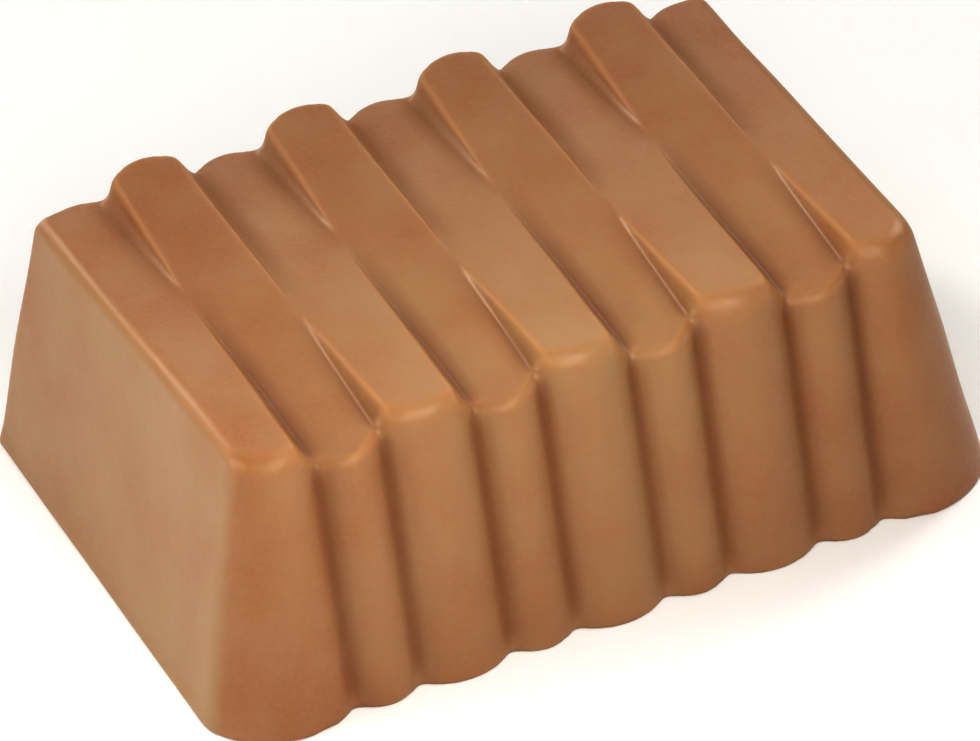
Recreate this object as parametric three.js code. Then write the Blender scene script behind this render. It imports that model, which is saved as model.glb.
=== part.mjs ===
// A moulded milk chocolate praline: one solid block with four leaning sides and nine ribs across it.
// Ribs are of two kinds in turn. One stands tall at the front and sinks towards the back, the other
// does the opposite, so their ramps cross and lie level near the middle of the block.
// Millimetres, +Z up. The origin is the middle of the base, +X runs along the block, -Y is the front.
import * as THREE from 'three';
import { mergeVertices } from 'three/addons/utils/BufferGeometryUtils.js';

// Block
const BASE_LENGTH = 38;
const BASE_WIDTH = 26.5;
const HEIGHT = 14;
const END_LEAN = 2.75; // how far each end face leans in over the height
const SIDE_LEAN = 1.75; // how far each long side leans in over the height

// Ribs
const RIB_COUNT = 9;
const RIB_PITCH = 3.75;
const STEP_FRONT = 1.35; // height of a tall rib over its low neighbours at the front
const STEP_BACK = 1.25; // the same at the back, where the other kind is tall
const LOW_TILT = 0.2; // sideways rise over run, towards +X, of a low rib's top at the front edge
const TOP_CROWN = 0.09; // fall of a rib's top from its middle to its edges
const WALL_SLOPE = 1.8; // rise over run of the wall between a tall rib and a low one
const WALL_BEND = 0.18; // height over which a wall's upper bend is rounded
const WALL_FOOT_FRONT = 0.3; // the same for its lower bend, at the front and at the back
const WALL_FOOT_BACK = 0.6;
const SETBACK = 0.17; // how far the low ribs' faces stand back from the tall ones

// Grooves between the ribs, on the two long sides
const FACE_SHIFT_FRONT = 0.22; // how far a groove lies from the ribs' border, towards the low rib
const FACE_SHIFT_BACK = 0.08;
const FACE_CROWN = 0.25; // fall of a rib's face from its middle to its edges
const GROOVE_SLOPE = 0.75; // extra fall per millimetre in the groove's flanks
const GROOVE_FLANK = 0.95; // width of a flank
const GROOVE_SOFTNESS = 0.4;
const GROOVE_FILLET = 0.7;
const GROOVE_AT_BASE = 0.8; // share of these falls at the base and at the top
const GROOVE_AT_TOP = 1.05;

// Edges
const TALL_EDGE_FRONT = 0.8; // radius of the top's outer edge on the tall ribs
const TALL_EDGE_BACK = 0.4;
const LOW_EDGE = 0.35; // the same on the low ribs
const END_EDGE = 0.9; // and along the end faces
const END_EDGE_START = 2.5; // distance from an end face at which the edge starts to change to that
const BACK_CORNER = 0.9;
const FRONT_CORNER_BASE = 4.1;
const FRONT_CORNER_TOP = 2.4;
const END_CREASE = 0.2; // how far an end face cuts into the rounding of the edges around it
const CREASE_BEND = 0.15;

// Mesh
const WALL_MARGIN = 0.3; // room beside a wall for its bends
const WALL_LINES = [-1, -0.65, -0.32, 0, 0.32, 0.65, 1]; // parts of half a wall's width
const RIB_LINES = [-0.2, 0, 0.2]; // parts of the pitch
const END_LINES = [0.3, 0.45, 0.6, 0.72, 0.82, 0.9, 0.96, 1]; // parts of an end rib's width
const HEIGHT_LINES = [0, 0.12, 0.3, 0.5, 0.68, 0.82, 0.91, 0.955, 0.98, 1];
const DEPTH_STEPS = 20;
const CORE_DEPTH = 3; // depth under the surface from which points are moved out to it
const OUTER_LIMIT = 1.5;
const BISECTIONS = 40;

const LAST_RIB = (RIB_COUNT - 1) / 2;
const HALF_PITCH = RIB_PITCH / 2;
const END_SLANT = Math.hypot(1, END_LEAN / HEIGHT);
const SIDE_SLANT = Math.hypot(1, SIDE_LEAN / HEIGHT);

const { clamp, lerp } = THREE.MathUtils;

// Half the length and half the width of the leaning block at height z
const endX = (z) => BASE_LENGTH / 2 - END_LEAN * z / HEIGHT;
const sideY = (z) => BASE_WIDTH / 2 - SIDE_LEAN * z / HEIGHT;

// The larger of two values, with the bend between them rounded over the range r
function smoothMax(a, b, r) {
  const overlap = Math.max(r - Math.abs(a - b), 0);
  return Math.max(a, b) + overlap * overlap / (4 * r);
}

// A ramp from 0 to slope 1 with a rounded bend
const softRamp = (v, r) => (v + Math.hypot(v, r)) / 2;

// Two walls, each negative inside, that meet in an outer edge of the given radius
function roundedEdge(a, b, radius) {
  const outside = Math.hypot(Math.max(a + radius, 0), Math.max(b + radius, 0));
  return Math.min(-radius, Math.max(a, b)) + outside;
}

// How far x lies to the right of the middle of the nearest front rib and of the nearest back rib
function ribOffsets(x) {
  const s = x / RIB_PITCH;
  const frontRib = clamp(2 * Math.round(s / 2), -LAST_RIB, LAST_RIB);
  const backRib = clamp(2 * Math.round((s - 1) / 2) + 1, 1 - LAST_RIB, LAST_RIB - 1);
  const front = Math.abs(s) > LAST_RIB ? 0 : (s - frontRib) * RIB_PITCH;
  return { front, back: (s - backRib) * RIB_PITCH };
}

// 0 at the front edge of the top, 1 at its back edge
function depthPart(y) {
  const edge = sideY(HEIGHT);
  return clamp((y + edge) / (2 * edge), 0, 1);
}

// Mean height of both kinds of rib at depth y, and how far the front kind stands over the back kind.
// The back kind leans sideways where it is low, so its height changes with the offset from its middle.
function ribLevels(y, backOffset) {
  const sunk = STEP_FRONT - LOW_TILT * clamp(backOffset, -HALF_PITCH, HALF_PITCH);
  const front = HEIGHT - STEP_BACK * depthPart(y);
  const back = HEIGHT - sunk * (1 - depthPart(y));
  return { middle: (front + back) / 2, step: front - back };
}

// Height of the top: faintly crowned ribs with sloping walls between them
function topHeight(x, y) {
  const { front, back } = ribOffsets(x);
  const { middle, step } = ribLevels(y, back);
  const half = Math.abs(step) / 2;
  const wall = (step < 0 ? -WALL_SLOPE : WALL_SLOPE) * (HALF_PITCH - Math.abs(front));
  const foot = lerp(WALL_FOOT_FRONT, WALL_FOOT_BACK, depthPart(y));
  const rise = softRamp(wall + half, foot) - softRamp(wall - half, WALL_BEND);
  const crown = TOP_CROWN * (Math.min(Math.abs(front), Math.abs(back)) / HALF_PITCH) ** 4;
  return middle - half + rise - crown;
}

// How far a rib's face falls back at the distance u from its middle
function faceFall(u, halfWidth) {
  const start = halfWidth - GROOVE_FLANK;
  const flank = softRamp(u - start, GROOVE_SOFTNESS) - softRamp(-start, GROOVE_SOFTNESS);
  return FACE_CROWN * (u / halfWidth) ** 2 + GROOVE_SLOPE * flank;
}

// How far a long side stands out, from the distances to the nearest tall and low rib
function faceReach(tallOffset, lowOffset, shift, groove) {
  const tall = -groove * faceFall(tallOffset, HALF_PITCH + shift);
  const low = -groove * faceFall(lowOffset, HALF_PITCH - shift) - SETBACK;
  return smoothMax(tall, low, GROOVE_FILLET);
}

// The surface is where this is 0. It is negative inside, and has no floor: the base closes it.
function field(x, y, z) {
  const level = clamp(z / HEIGHT, 0, 1);
  const groove = lerp(GROOVE_AT_BASE, GROOVE_AT_TOP, level);
  const offsets = ribOffsets(x);
  const u = Math.abs(offsets.front);
  const v = Math.abs(offsets.back);
  const front = (-y - sideY(z) - faceReach(u, v, FACE_SHIFT_FRONT, groove)) / SIDE_SLANT;
  const back = (y - sideY(z) - faceReach(v, u, FACE_SHIFT_BACK, groove)) / SIDE_SLANT;
  const end = (Math.abs(x) - endX(z)) / END_SLANT;
  const corner = lerp(FRONT_CORNER_BASE, FRONT_CORNER_TOP, level);
  const walls = roundedEdge(roundedEdge(end - END_CREASE, front, corner), back, BACK_CORNER);
  const top = topHeight(x, y);
  const tallEdge = lerp(TALL_EDGE_FRONT, TALL_EDGE_BACK, depthPart(y));
  const sideEdge = lerp(tallEdge, LOW_EDGE, clamp((HEIGHT - top) / STEP_BACK, 0, 1));
  const edge = lerp(sideEdge, END_EDGE, clamp(1 + end / END_EDGE_START, 0, 1));
  return smoothMax(roundedEdge(walls, z - top, edge), end, CREASE_BEND);
}

// Mesh lines across the block. A line keeps its place on a rib, spreads with a wall, or follows an end.
function makeCrossLines() {
  const lines = [];
  const outerGroove = (LAST_RIB - 0.5) * RIB_PITCH;
  for (const part of END_LINES.toReversed()) lines.push({ anchor: -outerGroove, spread: 0, reach: -part });
  for (let rib = -LAST_RIB; rib < LAST_RIB; rib++) {
    for (const part of WALL_LINES) lines.push({ anchor: (rib + 0.5) * RIB_PITCH, spread: part, reach: 0 });
    if (rib + 1 === LAST_RIB) break;
    for (const part of RIB_LINES) lines.push({ anchor: (rib + 1 + part) * RIB_PITCH, spread: 0, reach: 0 });
  }
  for (const part of END_LINES) lines.push({ anchor: outerGroove, spread: 0, reach: part });
  return lines;
}

const CROSS_LINES = makeCrossLines();

function crossLineX({ anchor, spread, reach }, y, z) {
  const wallHalf = Math.abs(ribLevels(y, 0).step) / (2 * WALL_SLOPE) + WALL_MARGIN;
  return anchor + spread * wallHalf + reach * (endX(z) - Math.abs(anchor));
}

// A point of the block with sharp edges and bare sides, from parts of its length, width and height
function blockPoint(line, widthPart, heightPart) {
  const y = widthPart * sideY(heightPart * HEIGHT);
  const x = crossLineX(line, y, heightPart * HEIGHT);
  return new THREE.Vector3(x, y, heightPart * topHeight(x, y));
}

// Moves a point of the sharp block along a line from inside the praline until it lies on the surface
function ontoSurface(point) {
  const roomX = endX(point.z) - CORE_DEPTH;
  const roomY = sideY(point.z) - CORE_DEPTH;
  const core = new THREE.Vector3(
    clamp(point.x, -roomX, roomX),
    clamp(point.y, -roomY, roomY),
    Math.min(point.z, HEIGHT - STEP_FRONT - CORE_DEPTH),
  );
  let inside = 0;
  let outside = OUTER_LIMIT;
  for (let n = 0; n < BISECTIONS; n++) {
    const t = (inside + outside) / 2;
    const p = core.clone().lerp(point, t);
    if (field(p.x, p.y, p.z) < 0) inside = t;
    else outside = t;
  }
  return core.lerp(point, inside);
}

// Closes the open bottom with a flat base that faces down: strips from front to back and a fan at each end.
// Each row lists the lowest points of one mesh line from front to back.
function baseTriangles(rows) {
  const faces = [];
  const last = rows.length - 1;
  for (let n = 1; n < last - 1; n++) {
    const [front, back] = rows[n];
    const [nextFront, nextBack] = rows[n + 1];
    faces.push(front, nextBack, nextFront, front, back, nextBack);
  }
  const leftChain = [rows[1][0], ...rows[0]];
  const rightChain = [rows[last - 1][0], ...rows[last]];
  for (let n = 0; n <= DEPTH_STEPS; n++) {
    faces.push(rows[1][1], leftChain[n], leftChain[n + 1]);
    faces.push(rows[last - 1][1], rightChain[n + 1], rightChain[n]);
  }
  return faces;
}

function makePralineGeometry() {
  const across = CROSS_LINES.length - 1;
  const up = HEIGHT_LINES.length - 1;
  const box = new THREE.BoxGeometry(2, 2, 2, across, DEPTH_STEPS, up);
  const bottom = box.groups[5];
  box.setIndex([...box.index.array.slice(0, bottom.start)]);
  box.deleteAttribute('normal');
  box.deleteAttribute('uv');
  const grid = mergeVertices(box);
  const used = new Set(grid.index.array);

  const points = [];
  const baseRows = CROSS_LINES.map(() => []);
  const spot = new THREE.Vector3();
  for (let n = 0; n < grid.attributes.position.count; n++) {
    spot.fromBufferAttribute(grid.attributes.position, n);
    const line = Math.round((spot.x + 1) / 2 * across);
    const widthPart = Math.sin(spot.y * Math.PI / 2);
    const heightPart = HEIGHT_LINES[Math.round((spot.z + 1) / 2 * up)];
    const block = blockPoint(CROSS_LINES[line], widthPart, heightPart);
    points.push(used.has(n) ? ontoSurface(block) : block);
    if (heightPart === 0 && used.has(n)) baseRows[line].push({ n, widthPart });
  }
  for (const row of baseRows) row.sort((a, b) => a.widthPart - b.widthPart);
  const base = baseTriangles(baseRows.map((row) => row.map(({ n }) => n)));

  const geometry = new THREE.BufferGeometry().setFromPoints(points);
  geometry.setIndex([...grid.index.array, ...base]);
  geometry.computeVertexNormals();
  return geometry;
}

const chocolate = new THREE.MeshStandardMaterial({ color: 0xa9724a, roughness: 0.42, metalness: 0 });
const block = new THREE.Mesh(makePralineGeometry(), chocolate);
block.name = 'chocolate_block';

const praline = new THREE.Group();
praline.name = 'praline';
praline.add(block);

export default praline;
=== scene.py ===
"""Looks of a moulded milk chocolate praline: the fine form of its block, its chocolate and a small studio.

The block is worked out in millimetres, in the frame's own axes, and becomes a mesh in metres.
"""
import math

import bpy
import numpy as np
from mathutils import Matrix, Vector


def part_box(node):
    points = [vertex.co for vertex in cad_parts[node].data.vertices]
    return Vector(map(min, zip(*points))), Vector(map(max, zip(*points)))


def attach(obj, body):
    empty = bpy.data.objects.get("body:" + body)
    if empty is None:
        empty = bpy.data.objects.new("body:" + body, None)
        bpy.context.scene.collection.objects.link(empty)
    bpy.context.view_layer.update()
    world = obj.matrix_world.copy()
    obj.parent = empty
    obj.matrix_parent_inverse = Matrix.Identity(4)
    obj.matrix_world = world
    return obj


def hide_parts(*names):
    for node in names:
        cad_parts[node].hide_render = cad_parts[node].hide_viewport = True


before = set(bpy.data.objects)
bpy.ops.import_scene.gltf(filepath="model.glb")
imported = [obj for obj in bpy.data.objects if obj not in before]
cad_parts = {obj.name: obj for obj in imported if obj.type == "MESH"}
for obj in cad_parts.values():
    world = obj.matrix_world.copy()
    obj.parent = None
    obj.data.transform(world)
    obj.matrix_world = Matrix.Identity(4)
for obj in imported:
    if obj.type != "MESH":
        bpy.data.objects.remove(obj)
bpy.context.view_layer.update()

MM = 0.001
NODE = "chocolate_block"

# Block, in millimetres. Length and width come from the frame.
node_low, node_high = (np.array(corner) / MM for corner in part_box(NODE))
BASE_LENGTH = node_high[0] - node_low[0]
BASE_WIDTH = node_high[1] - node_low[1]
HEIGHT = 14.0
END_LEAN = 2.75
SIDE_LEAN = 1.75

# Ribs
LAST_RIB = 4
RIB_PITCH = 3.75
HALF_PITCH = RIB_PITCH / 2
STEP_FRONT = 1.35
STEP_BACK = 1.25
LOW_TILT = 0.2
WALL_SLOPE = 1.8
WALL_BEND = 0.18
WALL_FOOT_FRONT = 0.15
WALL_FOOT_BACK = 0.6
SETBACK = 0.17
TOP_CROWN = 0.09
CROWN_POWER = 4

# Grooves between the ribs, on the two long sides
FACE_CROWN = 0.25
FACE_SHIFT_FRONT = 0.22
FACE_SHIFT_BACK = 0.08
GROOVE_PLACE = 0.12
GROOVE_SLOPE = 0.77
GROOVE_FLANK = 0.97
GROOVE_SOFTNESS = 0.75
GROOVE_FILLET = 0.45
GROOVE_AT_BASE = 0.8
GROOVE_AT_TOP = 1.05

# Edges
TALL_EDGE_FRONT = 0.9
TALL_EDGE_BACK = 0.4
LOW_EDGE = 0.5
END_EDGE = 0.9
END_EDGE_START = 2.5
BASE_EDGE = 0.2
BACK_CORNER = 0.9
FRONT_CORNER_BASE = 4.1
FRONT_CORNER_TOP = 2.4
END_CREASE = 0.2
CREASE_BEND = 0.15

# Unevenness of the cast surface, which lies inside the plain form by a number of wave heights
WAVE_COUNT = 16
WAVE_HEIGHT = 0.03
WAVE_LENGTHS = (4.0, 12.0)
WAVE_INSET = 2
WAVE_SEED = 7

# Mesh lines, which crowd at the ribs' walls and at the block's edges
WALL_MARGIN = 0.35
WALL_LINES = 21
RIB_LINES = 7
RIB_LINE_SPAN = 0.2
END_LINES = 22
END_LINES_FROM = 0.25
END_LINES_POWER = 1.4
DEPTH_LINES = 96
HEIGHT_LINES = 48
CROWDING = 0.7
CORE_DEPTH = 3.0
OUTER_LIMIT = 1.5
BISECTIONS = 36

# Reach of the probes that find hollows and edges, in millimetres, and the values that count as full
PROBE = 0.15
HOLLOW_REACHES = (0.5, 0.8, 1.1)
DEEP_HOLLOW = 0.27
SHARP_BEND = 4.0
EDGE_FROM = 0.75
EDGE_POWER = 0.5

# Hollows without gloss: those below a height, and those behind the front part of the top
MATT_BELOW = 12.5
MATT_FROM = 0.325
MATT_FULL = 0.575

# Painted sheen on the end faces, and a fainter painted pool of light round a point of the front's upper
# edge
SHEEN_DEPTH = 0.35
SHEEN_MARGIN = 0.25
SHEEN_AT_BACK = 0.6
LIGHT_POOL_CENTRE = (-1.0, -11.0, 14.0)
LIGHT_POOL_REACH = 22.0
LIGHT_POOL_SHARE = 0.95

# Chocolate, as linear colours
CHOCOLATE_DEEP = (0.300, 0.121, 0.047)
CHOCOLATE_LIGHT = (0.332, 0.174, 0.083)
CHOCOLATE_GRAIN = (0.365, 0.208, 0.105)
# Painted shade: a darker colour laid into the hollows and grooves, where shade falls
HOLLOW_PAINTED_SHADE = (0.172, 0.067, 0.023)
# Painted glow: a warmer, lighter colour along the top's edges, standing in for lit, translucent edges
EDGE_PAINTED_GLOW = (0.420, 0.225, 0.090)
# Painted sheen and painted light: a paler colour on the end faces and round the front's upper edge
PAINTED_SHEEN = (0.347, 0.221, 0.113)
GRAIN_SHARE = 0.35
BLOTCH_RANGE = (0.5, 1.0)
# How much painted shade goes into the hollows
PAINTED_SHADE_SHARE = 0.65
# How much painted glow goes onto the edges
PAINTED_GLOW_SHARE = 0.5
FAINT_EDGE = 0.1
ROUGHNESS_RANGE = (0.34, 0.42)
EDGE_ROUGHNESS = 0.22
HOLLOW_ROUGHNESS = 0.5
GRAIN_HEIGHT = 0.02
GRAIN_STRENGTH = 0.5
REFRACTION = 1.5
GLOW_WEIGHT = 0.35
GLOW_RADIUS = (1.0, 0.4, 0.2)
GLOW_SCALE = 0.8

# Noises of the chocolate: the width of their spots in millimetres, their detail and their roughness
MOTTLE_NOISE = (3.5, 4, 0.55)
BLOTCH_NOISE = (4.5, 3, 0.55)
GRAIN_NOISE = (0.25, 3, 0.6)
GLOSS_NOISE = (2.2, 4, 0.6)
BUMP_NOISE = (0.3, 3, 0.6)
NOISE_SPAN = (0.3, 0.7)
BLOTCH_SPAN = (0.35, 0.65)

# Floor, in metres and as a linear colour
FLOOR_HALF = 1.5
FLOOR_COLOUR = (0.88, 0.90, 0.94)
FLOOR_ROUGHNESS = 0.7

# Camera: the photo's view, from the front left and above, a little rolled. Lengths in millimetres.
AZIMUTH = math.radians(-21.857)
ELEVATION = math.radians(37.902)
ROLL = math.radians(-5.367)
DISTANCE = 433.7
PIXELS_PER_MM = 22.581
IMAGE_WIDTH = 980
SENSOR = 36.0
CLIP_START = 10.0
AIM_HEIGHT = 6.0
AIM_RIGHT = 0.062
AIM_UP = -0.656

# Studio: soft round lights by name, with degrees from the front towards +X, degrees up, distance and size
# in millimetres, and power in watts
LIGHTS = (
    ("front_top", 0, 55, 65, 35, 0.0212),
    ("front_left", -30, 35, 65, 35, 0.0150),
    ("front", 0, 25, 400, 200, 0.21),
    ("left", -90, 25, 65, 35, 0.0155),
    ("left_back", -120, 50, 400, 200, 0.08),
    ("left_back_low", -165, 4, 400, 200, 0.58),
    ("left_back_glint", -154, 35, 400, 60, 0.42),
    ("back_top", 180, 65, 400, 200, 0.24),
    ("back_low", 160, 26, 400, 200, 0.21),
    ("right_back", 120, 35, 400, 200, 0.71),
    ("right_low", 60, 10, 400, 200, 0.31),
)
LIGHT_COLOUR = (1.0, 0.97, 0.90)
SKY_STRENGTH = 0.085
CONTRAST = 0.65

END_SLANT = math.hypot(1, END_LEAN / HEIGHT)
SIDE_SLANT = math.hypot(1, SIDE_LEAN / HEIGHT)


def end_x(z):
    """Half the block's length at height z."""
    return BASE_LENGTH / 2 - END_LEAN * z / HEIGHT


def side_y(z):
    """Half the block's width at height z."""
    return BASE_WIDTH / 2 - SIDE_LEAN * z / HEIGHT


def between(a, b, part):
    return a + (b - a) * np.clip(part, 0, 1)


def smooth_max(a, b, r):
    """The larger of two values, with the bend between them rounded over the range r."""
    overlap = np.maximum(r - np.abs(a - b), 0)
    return np.maximum(a, b) + overlap * overlap / (4 * r)


def soft_ramp(v, r):
    """A ramp from 0 to slope 1 with a rounded bend."""
    return (v + np.hypot(v, r)) / 2


def rounded_edge(a, b, radius):
    """Two walls, each negative inside, that meet in an outer edge of that radius."""
    outside = np.hypot(np.maximum(a + radius, 0), np.maximum(b + radius, 0))
    return np.minimum(-radius, np.maximum(a, b)) + outside


def rib_offsets(x):
    """How far x lies to the right of the middle of the nearest front rib and of the nearest back rib."""
    s = x / RIB_PITCH
    front_rib = np.clip(2 * np.round(s / 2), -LAST_RIB, LAST_RIB)
    back_rib = np.clip(2 * np.round((s - 1) / 2) + 1, 1 - LAST_RIB, LAST_RIB - 1)
    front = np.where(np.abs(s) > LAST_RIB, 0, (s - front_rib) * RIB_PITCH)
    return front, (s - back_rib) * RIB_PITCH


def depth_part(y):
    """0 at the front edge of the top, 1 at its back edge."""
    edge = side_y(HEIGHT)
    return np.clip((y + edge) / (2 * edge), 0, 1)


def rib_levels(y, back_offset):
    """Mean height of both kinds of rib at depth y, and how far the front kind stands over the back kind.

    The back kind leans sideways where it is low, so its height changes with the offset from its middle.
    """
    t = depth_part(y)
    front = HEIGHT - STEP_BACK * t
    back = HEIGHT - (STEP_FRONT - LOW_TILT * np.clip(back_offset, -HALF_PITCH, HALF_PITCH)) * (1 - t)
    return (front + back) / 2, front - back


def top_height(x, y):
    """Height of the top: faintly crowned ribs with sloping walls between them."""
    front, back = rib_offsets(x)
    middle, step = rib_levels(y, back)
    half = np.abs(step) / 2
    wall = np.where(step < 0, -WALL_SLOPE, WALL_SLOPE) * (HALF_PITCH - np.abs(front))
    foot = between(WALL_FOOT_FRONT, WALL_FOOT_BACK, depth_part(y))
    rise = soft_ramp(wall + half, foot) - soft_ramp(wall - half, WALL_BEND)
    crown = TOP_CROWN * (np.minimum(np.abs(front), np.abs(back)) / HALF_PITCH) ** CROWN_POWER
    return middle - half + rise - crown


def face_fall(u, half_width):
    """How far a rib's face falls back at the distance u from its middle."""
    start = half_width - GROOVE_FLANK
    flank = soft_ramp(u - start, GROOVE_SOFTNESS) - soft_ramp(-start, GROOVE_SOFTNESS)
    return FACE_CROWN * (u / half_width) ** 2 + GROOVE_SLOPE * flank


def face_reach(tall_offset, low_offset, shift, groove):
    """How far a long side stands out, from the distances to the nearest tall and low rib."""
    tall = -groove * face_fall(tall_offset, HALF_PITCH + shift)
    low = -groove * face_fall(low_offset, HALF_PITCH - shift) - SETBACK
    return smooth_max(tall, low, GROOVE_FILLET)


def cast_waves():
    """Directions and phases of the waves that make the surface a little uneven."""
    rng = np.random.default_rng(WAVE_SEED)
    ways = rng.normal(size=(WAVE_COUNT, 3))
    lengths = rng.uniform(*WAVE_LENGTHS, WAVE_COUNT)
    ways *= (2 * math.pi / lengths / np.linalg.norm(ways, axis=1))[:, None]
    return ways, rng.uniform(0, 2 * math.pi, WAVE_COUNT)


WAVES, WAVE_PHASES = cast_waves()


def unevenness(p):
    """How far the cast surface lies inside the plain form."""
    waves = np.sin(p @ WAVES.T + WAVE_PHASES).sum(axis=1)
    return WAVE_HEIGHT * (WAVE_INSET + math.sqrt(2 / WAVE_COUNT) * waves)


def field(p):
    """0 on the surface, negative inside."""
    x, y, z = p.T
    u, v = np.abs(rib_offsets(x - GROOVE_PLACE))
    level = z / HEIGHT
    groove = between(GROOVE_AT_BASE, GROOVE_AT_TOP, level)
    front = (-y - side_y(z) - face_reach(u, v, FACE_SHIFT_FRONT, groove)) / SIDE_SLANT
    back = (y - side_y(z) - face_reach(v, u, FACE_SHIFT_BACK, groove)) / SIDE_SLANT
    end = (np.abs(x) - end_x(z)) / END_SLANT
    corner = between(FRONT_CORNER_BASE, FRONT_CORNER_TOP, level)
    walls = rounded_edge(rounded_edge(end - END_CREASE, front, corner), back, BACK_CORNER)
    top = top_height(x, y)
    tall_edge = between(TALL_EDGE_FRONT, TALL_EDGE_BACK, depth_part(y))
    side_edge = between(tall_edge, LOW_EDGE, (HEIGHT - top) / STEP_BACK)
    edge = between(side_edge, END_EDGE, 1 + end / END_EDGE_START)
    body = smooth_max(rounded_edge(walls, z - top, edge), end, CREASE_BEND)
    return rounded_edge(body + unevenness(p) * np.clip(z, 0, 1), -z, BASE_EDGE)


def cross_lines():
    """Mesh lines across the block: the anchor, the spread with a wall and the reach to an end of each."""
    lines = []
    outer_groove = (LAST_RIB - 0.5) * RIB_PITCH
    reaches = 1 - (1 - np.linspace(END_LINES_FROM, 1, END_LINES)) ** END_LINES_POWER
    lines += [(-outer_groove, 0.0, -reach) for reach in reaches[::-1]]
    for rib in range(-LAST_RIB, LAST_RIB):
        lines += [((rib + 0.5) * RIB_PITCH, part, 0.0) for part in np.linspace(-1, 1, WALL_LINES)]
        if rib + 1 < LAST_RIB:
            spans = np.linspace(-RIB_LINE_SPAN, RIB_LINE_SPAN, RIB_LINES)
            lines += [((rib + 1 + part) * RIB_PITCH, 0.0, 0.0) for part in spans]
    lines += [(outer_groove, 0.0, reach) for reach in reaches]
    return np.array(lines)


def cross_line_x(line, y, z):
    anchor, spread, reach = line.T
    wall_half = np.abs(rib_levels(y, 0)[1]) / (2 * WALL_SLOPE) + WALL_MARGIN
    return anchor + spread * wall_half + reach * (end_x(z) - np.abs(anchor))


def crowded_ends(count):
    """Values from 0 to 1 that crowd towards both ends."""
    s = np.linspace(0, 1, count)
    return s - CROWDING * np.sin(2 * math.pi * s) / (2 * math.pi)


def box_grid(nx, ny, nz):
    """Points of a closed box grid as whole steps along its three sides, and its outward quads."""
    index = {}
    quads = []

    def point(*steps):
        return index.setdefault(steps, len(index))

    for i in range(nx):
        for j in range(ny):
            corners = ((i, j), (i + 1, j), (i + 1, j + 1), (i, j + 1))
            quads.append([point(a, b, nz) for a, b in corners])
            quads.append([point(a, b, 0) for a, b in reversed(corners)])
    for i in range(nx):
        for k in range(nz):
            corners = ((i, k), (i + 1, k), (i + 1, k + 1), (i, k + 1))
            quads.append([point(a, 0, c) for a, c in corners])
            quads.append([point(a, ny, c) for a, c in reversed(corners)])
    for j in range(ny):
        for k in range(nz):
            corners = ((j, k), (j + 1, k), (j + 1, k + 1), (j, k + 1))
            quads.append([point(nx, b, c) for b, c in corners])
            quads.append([point(0, b, c) for b, c in reversed(corners)])
    return np.array(list(index)), np.array(quads)


def onto_surface(points):
    """Moves points of the sharp block along lines from inside it until they lie on the surface."""
    x, y, z = points.T
    room_x = end_x(z) - CORE_DEPTH
    room_y = side_y(z) - CORE_DEPTH
    core_z = np.clip(z, CORE_DEPTH, HEIGHT - STEP_FRONT - CORE_DEPTH)
    core = np.stack([np.clip(x, -room_x, room_x), np.clip(y, -room_y, room_y), core_z], axis=1)
    inside = np.zeros(len(points))
    outside = np.full(len(points), OUTER_LIMIT)
    for _ in range(BISECTIONS):
        t = (inside + outside) / 2
        within = field(core + t[:, None] * (points - core)) < 0
        inside = np.where(within, t, inside)
        outside = np.where(within, outside, t)
    return core + inside[:, None] * (points - core)


def probe_ways():
    """Unit directions from the middle of a cube to its corners and to the middles of its faces."""
    steps = np.array(list(np.ndindex(3, 3, 3))) - 1.0
    ways = steps[np.isin(np.abs(steps).sum(axis=1), (1, 3))]
    return ways / np.linalg.norm(ways, axis=1)[:, None]


def mean_around(points, reach):
    """Mean of the field at that distance all round each point."""
    return np.mean([field(points + reach * way) for way in probe_ways()], axis=0)


def surface_bends(points):
    """How hollow the surface is at each point and how sharply it bends outwards, both from 0 to 1."""
    ahead = [field(points + PROBE * axis) for axis in np.eye(3)]
    behind = [field(points - PROBE * axis) for axis in np.eye(3)]
    gradient = np.stack([(a - b) / (2 * PROBE) for a, b in zip(ahead, behind)], axis=1)
    slope = np.linalg.norm(gradient, axis=1)
    around = [mean_around(points, reach) / reach for reach in HOLLOW_REACHES]
    hollow = np.clip(-np.mean(around, axis=0) / (slope * DEEP_HOLLOW), 0, 1)
    bend = (sum(ahead) + sum(behind) - 6 * field(points)) / (PROBE * PROBE * slope)
    near_top = np.clip((points[:, 2] / HEIGHT - EDGE_FROM) / (1 - EDGE_FROM), 0, 1)
    return hollow, near_top ** EDGE_POWER * np.clip(bend / SHARP_BEND, 0, 1)


def painted_sheen_and_light(points):
    """Painted sheen: 1 on the end faces at the front, less towards the back, and a painted pool of light
    that fades round its centre.
    """
    x, y, z = points.T
    end = (np.abs(x) - end_x(z)) / END_SLANT
    ends = between(1, SHEEN_AT_BACK, depth_part(y)) * np.clip(1 + SHEEN_MARGIN + end / SHEEN_DEPTH, 0, 1)
    away = np.linalg.norm(points - LIGHT_POOL_CENTRE, axis=1)
    return np.maximum(ends, LIGHT_POOL_SHARE * np.clip(1 - away / LIGHT_POOL_REACH, 0, 1))


def matt_place(points):
    """1 where the hollows show no gloss, below the top and towards its back, 0 at the front of the top."""
    y, z = points[:, 1], points[:, 2]
    behind = between(0, 1, (depth_part(y) - MATT_FROM) / (MATT_FULL - MATT_FROM))
    return np.maximum(np.clip(MATT_BELOW - z, 0, 1), behind)


def add_values(mesh, name, values):
    """Stores a value at each point of the mesh, for the material."""
    layer = mesh.attributes.new(name, "FLOAT", "POINT")
    layer.data.foreach_set("value", values.astype(np.float32))


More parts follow.
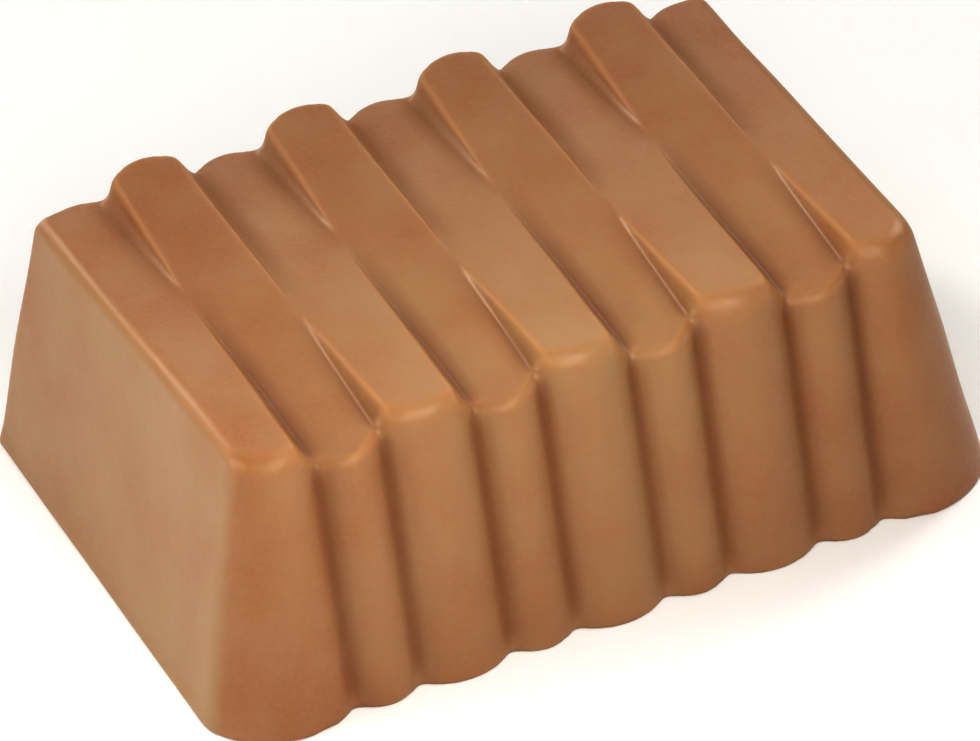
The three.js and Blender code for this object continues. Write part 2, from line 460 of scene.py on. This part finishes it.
def praline_mesh():
    lines = cross_lines()
    steps, quads = box_grid(len(lines) - 1, DEPTH_LINES - 1, HEIGHT_LINES - 1)
    width_part = 2 * crowded_ends(DEPTH_LINES)[steps[:, 1]] - 1
    height_part = crowded_ends(HEIGHT_LINES)[steps[:, 2]]
    y = width_part * side_y(height_part * HEIGHT)
    x = cross_line_x(lines[steps[:, 0]], y, height_part * HEIGHT)
    points = onto_surface(np.stack([x, y, height_part * top_height(x, y)], axis=1))
    mesh = bpy.data.meshes.new("praline_block")
    mesh.from_pydata((points * MM).tolist(), [], quads.tolist())
    mesh.shade_smooth()
    hollow, edge = surface_bends(points)
    add_values(mesh, "hollow", hollow)
    add_values(mesh, "edge", edge)
    # Painted sheen and painted light, kept out of the hollows
    add_values(mesh, "painted_sheen", painted_sheen_and_light(points) * (1 - hollow))
    add_values(mesh, "matt", hollow * matt_place(points))
    return mesh


def new_material(name):
    material = bpy.data.materials.new(name)
    material.use_nodes = True
    tree = material.node_tree
    return material, tree, tree.nodes["Principled BSDF"]


def noise(tree, size, detail, roughness):
    """Soft noise from 0 to 1 whose spots are about that many millimetres wide."""
    place = tree.nodes.new("ShaderNodeTexCoord")
    node = tree.nodes.new("ShaderNodeTexNoise")
    node.inputs["Scale"].default_value = 1 / (size * MM)
    node.inputs["Detail"].default_value = detail
    node.inputs["Roughness"].default_value = roughness
    tree.links.new(place.outputs["Object"], node.inputs["Vector"])
    return node.outputs["Fac"]


def attribute(tree, name):
    node = tree.nodes.new("ShaderNodeAttribute")
    node.attribute_name = name
    return node.outputs["Fac"]


def mapped(tree, value, from_range, to_range):
    node = tree.nodes.new("ShaderNodeMapRange")
    node.inputs["From Min"].default_value, node.inputs["From Max"].default_value = from_range
    node.inputs["To Min"].default_value, node.inputs["To Max"].default_value = to_range
    tree.links.new(value, node.inputs["Value"])
    return node.outputs["Result"]


def combined(tree, operation, first, second):
    node = tree.nodes.new("ShaderNodeMath")
    node.operation = operation
    tree.links.new(first, node.inputs[0])
    tree.links.new(second, node.inputs[1])
    return node.outputs["Value"]


def mixed(tree, factor, first, second):
    """A mix of two colours, each either a colour or a node's output."""
    node = tree.nodes.new("ShaderNodeMix")
    node.data_type = "RGBA"
    tree.links.new(factor, node.inputs["Factor"])
    for socket, colour in ((node.inputs[6], first), (node.inputs[7], second)):
        if isinstance(colour, tuple):
            socket.default_value = (*colour, 1)
        else:
            tree.links.new(colour, socket)
    return node.outputs[2]


def chocolate_material():
    """Satin milk chocolate: mottled, with painted sheen and painted light in places, painted shade in the
    hollows and a painted glow along the edges.
    """
    material, tree, shader = new_material("milk_chocolate")
    mottle = mapped(tree, noise(tree, *MOTTLE_NOISE), NOISE_SPAN, (0, 1))
    colour = mixed(tree, mottle, CHOCOLATE_DEEP, CHOCOLATE_LIGHT)
    grain = mapped(tree, noise(tree, *GRAIN_NOISE), NOISE_SPAN, (0, GRAIN_SHARE))
    colour = mixed(tree, grain, colour, CHOCOLATE_GRAIN)
    blotches = mapped(tree, noise(tree, *BLOTCH_NOISE), BLOTCH_SPAN, BLOTCH_RANGE)
    # Painted sheen on the end faces and a painted pool of light near the front, broken into blotches
    painted_sheen = combined(tree, "MULTIPLY", attribute(tree, "painted_sheen"), blotches)
    colour = mixed(tree, painted_sheen, colour, PAINTED_SHEEN)
    # Painted shade: the hollows are darkened in the colour, where shade falls
    hollow = mapped(tree, attribute(tree, "hollow"), (0, 1), (0, PAINTED_SHADE_SHARE))
    colour = mixed(tree, hollow, colour, HOLLOW_PAINTED_SHADE)
    # Painted glow along the edges near the top
    edge = mapped(tree, attribute(tree, "edge"), (FAINT_EDGE, 1), (0, PAINTED_GLOW_SHARE))
    colour = mixed(tree, edge, colour, EDGE_PAINTED_GLOW)
    tree.links.new(colour, shader.inputs["Base Color"])
    roughness = mapped(tree, noise(tree, *GLOSS_NOISE), NOISE_SPAN, ROUGHNESS_RANGE)
    on_edges = mapped(tree, attribute(tree, "edge"), (0, 1), (0, EDGE_ROUGHNESS))
    in_hollows = mapped(tree, attribute(tree, "matt"), (0, 1), (0, HOLLOW_ROUGHNESS))
    roughness = combined(tree, "ADD", combined(tree, "ADD", roughness, on_edges), in_hollows)
    tree.links.new(roughness, shader.inputs["Roughness"])
    bump = tree.nodes.new("ShaderNodeBump")
    bump.inputs["Strength"].default_value = GRAIN_STRENGTH
    bump.inputs["Distance"].default_value = GRAIN_HEIGHT * MM
    tree.links.new(noise(tree, *BUMP_NOISE), bump.inputs["Height"])
    tree.links.new(bump.outputs["Normal"], shader.inputs["Normal"])
    shader.inputs["IOR"].default_value = REFRACTION
    shader.inputs["Subsurface Weight"].default_value = GLOW_WEIGHT
    shader.inputs["Subsurface Radius"].default_value = GLOW_RADIUS
    shader.inputs["Subsurface Scale"].default_value = GLOW_SCALE * MM
    return material


def floor_material():
    material, _, shader = new_material("pale_floor")
    shader.inputs["Base Color"].default_value = (*FLOOR_COLOUR, 1)
    shader.inputs["Roughness"].default_value = FLOOR_ROUGHNESS
    return material


def make_praline():
    praline = bpy.data.objects.new("praline", praline_mesh())
    bpy.context.scene.collection.objects.link(praline)
    praline.data.materials.append(chocolate_material())
    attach(praline, "root")
    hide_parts(NODE)


def make_floor():
    corners = [(x * FLOOR_HALF, y * FLOOR_HALF, 0) for x, y in ((-1, -1), (1, -1), (1, 1), (-1, 1))]
    mesh = bpy.data.meshes.new("floor")
    mesh.from_pydata(corners, [], [(0, 1, 2, 3)])
    floor = bpy.data.objects.new("floor", mesh)
    bpy.context.scene.collection.objects.link(floor)
    floor.data.materials.append(floor_material())


def way_to(azimuth, elevation):
    """Direction from the praline at angles from the front, towards +X, and up."""
    level = math.cos(elevation)
    return Vector((math.sin(azimuth) * level, -math.cos(azimuth) * level, math.sin(elevation)))


def make_camera():
    back = way_to(AZIMUTH, ELEVATION)
    level = Vector((math.cos(AZIMUTH), math.sin(AZIMUTH), 0))
    upright = back.cross(level)
    right = math.cos(ROLL) * level + math.sin(ROLL) * upright
    up = back.cross(right)
    aim = Vector((0, 0, AIM_HEIGHT)) + AIM_RIGHT * right + AIM_UP * up
    data = bpy.data.cameras.new("camera")
    data.sensor_fit = "HORIZONTAL"
    data.sensor_width = SENSOR
    data.lens = PIXELS_PER_MM * DISTANCE / IMAGE_WIDTH * SENSOR
    data.clip_start = CLIP_START * MM
    camera = bpy.data.objects.new("camera", data)
    turn = Matrix((right, up, back)).transposed().to_4x4()
    camera.matrix_world = Matrix.Translation((aim + DISTANCE * back) * MM) @ turn
    bpy.context.scene.collection.objects.link(camera)
    bpy.context.scene.camera = camera


def area_light(name, azimuth, elevation, distance, size, power):
    """A soft round light that faces the praline."""
    data = bpy.data.lights.new(name, "AREA")
    data.shape = "DISK"
    data.size = size * MM
    data.energy = power
    data.color = LIGHT_COLOUR
    light = bpy.data.objects.new(name, data)
    way = way_to(math.radians(azimuth), math.radians(elevation))
    turn = way.to_track_quat("Z", "Y").to_matrix().to_4x4()
    light.matrix_world = Matrix.Translation(way * distance * MM) @ turn
    light.visible_camera = False
    bpy.context.scene.collection.objects.link(light)


def make_studio():
    world = bpy.data.worlds.new("studio")
    bpy.context.scene.world = world
    world.use_nodes = True
    sky = world.node_tree.nodes["Background"]
    sky.inputs["Color"].default_value = (1, 1, 1, 1)
    sky.inputs["Strength"].default_value = SKY_STRENGTH
    for light in LIGHTS:
        area_light(*light)
    bpy.context.scene.view_settings.view_transform = "Standard"
    bpy.context.scene.view_settings.gamma = CONTRAST


make_camera()
make_praline()
make_floor()
make_studio()
